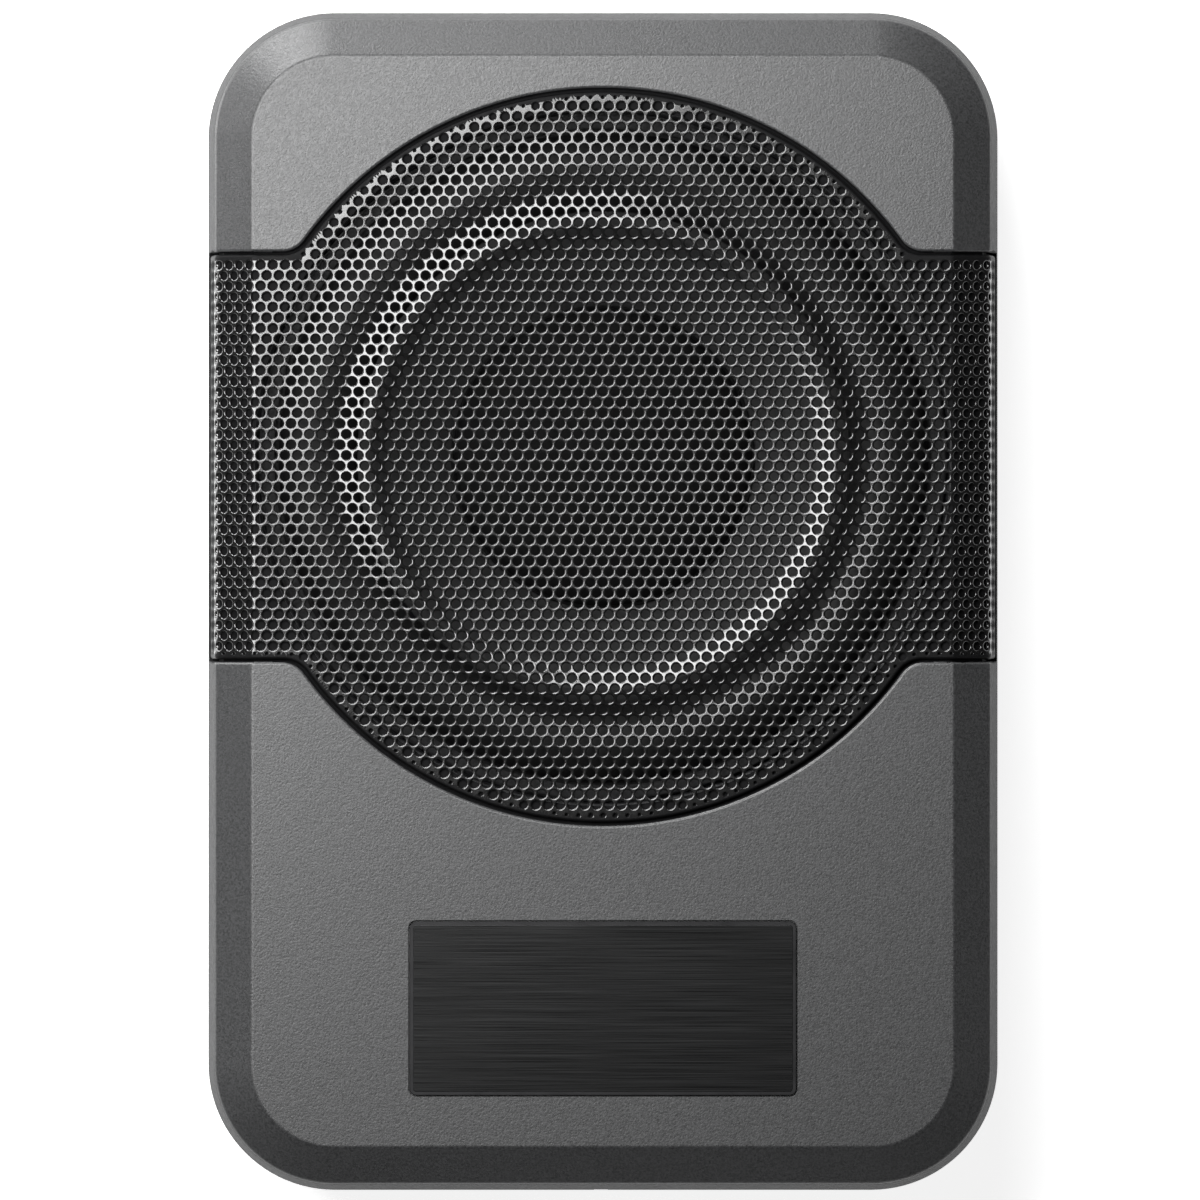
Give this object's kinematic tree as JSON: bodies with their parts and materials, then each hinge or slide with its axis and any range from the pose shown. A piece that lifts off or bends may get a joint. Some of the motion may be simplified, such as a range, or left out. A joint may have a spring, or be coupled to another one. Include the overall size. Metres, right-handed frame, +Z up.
{
  "type": "powered car subwoofer",
  "caption": "Flat under-seat enclosure with a shallow woofer behind a pressed perforated grille, its own amplifier, and knobs and sockets in a recess at one end.",
  "frame": {"origin": "centre of the footprint, on the surface that the four feet stand on", "axes": "+Z up through the grille; +Y along the length towards the woofer end; +X to the right seen with the control end nearest the viewer; controls and sockets face -Y"},
  "size_m": [0.228, 0.34, 0.078],
  "materials": {
    "tray_paint": "satin",
    "cover_plastic": "matte",
    "seal_rubber": "matte",
    "grille_paint": "satin",
    "badge_metal": "satin",
    "feet_rubber": "matte",
    "screw_black": "satin",
    "frame_steel": "satin",
    "gasket_foam": "matte",
    "cone_pulp": "matte",
    "cap_plastic": "satin",
    "surround_rubber": "matte",
    "spider_cloth": "matte",
    "former_sheet": "satin",
    "copper_wire": "gloss",
    "zinc_steel": "satin",
    "ferrite": "matte",
    "black_plastic": "satin",
    "lead_braid": "satin",
    "board_laminate": "satin",
    "spreader_aluminium": "satin",
    "capacitor_sleeve": "gloss",
    "wire_insulation": "satin",
    "panel_plastic": "matte",
    "knob_plastic": "satin",
    "led_lens": "gloss"
  },
  "bodies": {
    "root": {"base_tray": "tray_paint", "top_cover": "cover_plastic", "cover_gasket": "seal_rubber", "grille": "grille_paint", "badge_plate": "badge_metal", "foot_front_left": "feet_rubber", "foot_front_right": "feet_rubber", "foot_rear_left": "feet_rubber", "foot_rear_right": "feet_rubber", "cover_screw_1": "screw_black", "cover_screw_2": "screw_black", "cover_screw_3": "screw_black", "cover_screw_4": "screw_black", "cover_screw_5": "screw_black", "cover_screw_6": "screw_black", "cover_screw_7": "screw_black", "cover_screw_8": "screw_black", "woofer_frame": "frame_steel", "frame_gasket": "gasket_foam", "surround": "surround_rubber", "spider": "spider_cloth", "toroid_inductor": "copper_wire", "top_plate": "zinc_steel", "back_plate": "zinc_steel", "magnet": "ferrite", "terminal_block": "black_plastic", "gain_pot": "black_plastic", "lowpass_pot": "black_plastic", "phase_switch": "black_plastic", "rca_jack_block": "black_plastic", "remote_jack": "black_plastic", "power_inlet": "black_plastic", "power_transistor_1": "black_plastic", "power_transistor_2": "black_plastic", "tinsel_lead_left": "lead_braid", "tinsel_lead_right": "lead_braid", "woofer_screw_1": "screw_black", "woofer_screw_2": "screw_black", "woofer_screw_3": "screw_black", "woofer_screw_4": "screw_black", "woofer_screw_5": "screw_black", "woofer_screw_6": "screw_black", "amp_board": "board_laminate", "heat_spreader": "spreader_aluminium", "filter_capacitor_1": "capacitor_sleeve", "filter_capacitor_2": "capacitor_sleeve", "speaker_lead": "wire_insulation", "control_panel": "panel_plastic", "panel_screw_1": "screw_black", "panel_screw_2": "screw_black", "panel_screw_3": "screw_black", "panel_screw_4": "screw_black", "power_led": "led_lens"},
    "cone_assembly": {"cone": "cone_pulp", "dust_cap": "cap_plastic", "coil_former": "former_sheet", "voice_coil": "copper_wire"},
    "gain_control": {"gain_knob": "knob_plastic"},
    "lowpass_control": {"lowpass_knob": "knob_plastic"},
    "phase_control": {"phase_slider": "knob_plastic"}
  },
  "joints": [
    {"name": "cone_stroke", "type": "slide", "parent": "root", "child": "cone_assembly", "axis": [0, 0, 1], "range_m": [-0.005, 0.005], "stiffness_N_per_m": 3000, "deforming": ["surround", "spider", "tinsel_lead_left", "tinsel_lead_right"]},
    {"name": "gain_turn", "type": "hinge", "parent": "root", "child": "gain_control", "pos_m": [-0.055, -0.1625, 0.0275], "axis": [0, -1, 0], "range_deg": [-140, 140]},
    {"name": "lowpass_turn", "type": "hinge", "parent": "root", "child": "lowpass_control", "pos_m": [-0.037, -0.1625, 0.0275], "axis": [0, -1, 0], "range_deg": [-140, 140]},
    {"name": "phase_slide", "type": "slide", "parent": "root", "child": "phase_control", "axis": [1, 0, 0], "range_m": [0, 0.003]}
  ]
}
